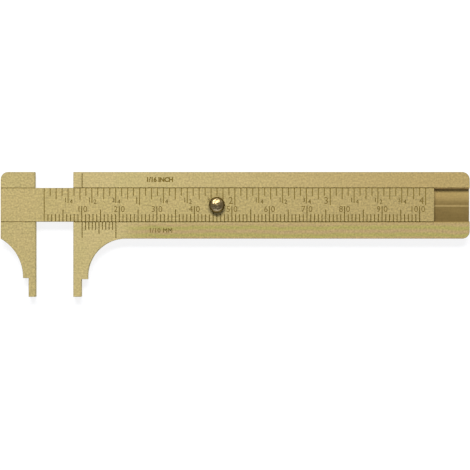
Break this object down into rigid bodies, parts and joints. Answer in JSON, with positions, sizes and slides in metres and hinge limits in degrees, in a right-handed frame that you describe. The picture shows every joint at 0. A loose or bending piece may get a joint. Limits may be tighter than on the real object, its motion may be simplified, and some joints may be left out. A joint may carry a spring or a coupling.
{
  "type": "button gauge caliper",
  "caption": "Flat brass pocket slide caliper with a graduated sliding bar, inch and millimetre scales, a vernier, narrow jaw tips and a round thumb button.",
  "frame": {"origin": "centre of the plan at rest, on the flat back of the caliper", "axes": "+X along the bar towards the tail, +Y away from the jaw tips, +Z out of the graduated face"},
  "size_m": [0.125, 0.0332, 0.0051],
  "materials": {
    "body_brass": "fine satin, slightly aged",
    "bar_brass": "fine satin with dark engraved lines",
    "button_brass": "polished",
    "pin_brass": "filed flush",
    "spring_bronze": "rolled spring bronze"
  },
  "bodies": {
    "frame": {"body": "body_brass", "drag_spring": "spring_bronze", "spring_rivet": "pin_brass", "stop_pin": "pin_brass"},
    "slide": {"slide_bar": "bar_brass", "moving_jaw": "body_brass", "jaw_pins": "pin_brass", "thumb_button": "button_brass"}
  },
  "joints": [
    {"name": "slide_travel", "type": "slide", "parent": "frame", "child": "slide", "axis": [-1, 0, 0], "range_m": [-0.01008, 0.0919]}
  ]
}
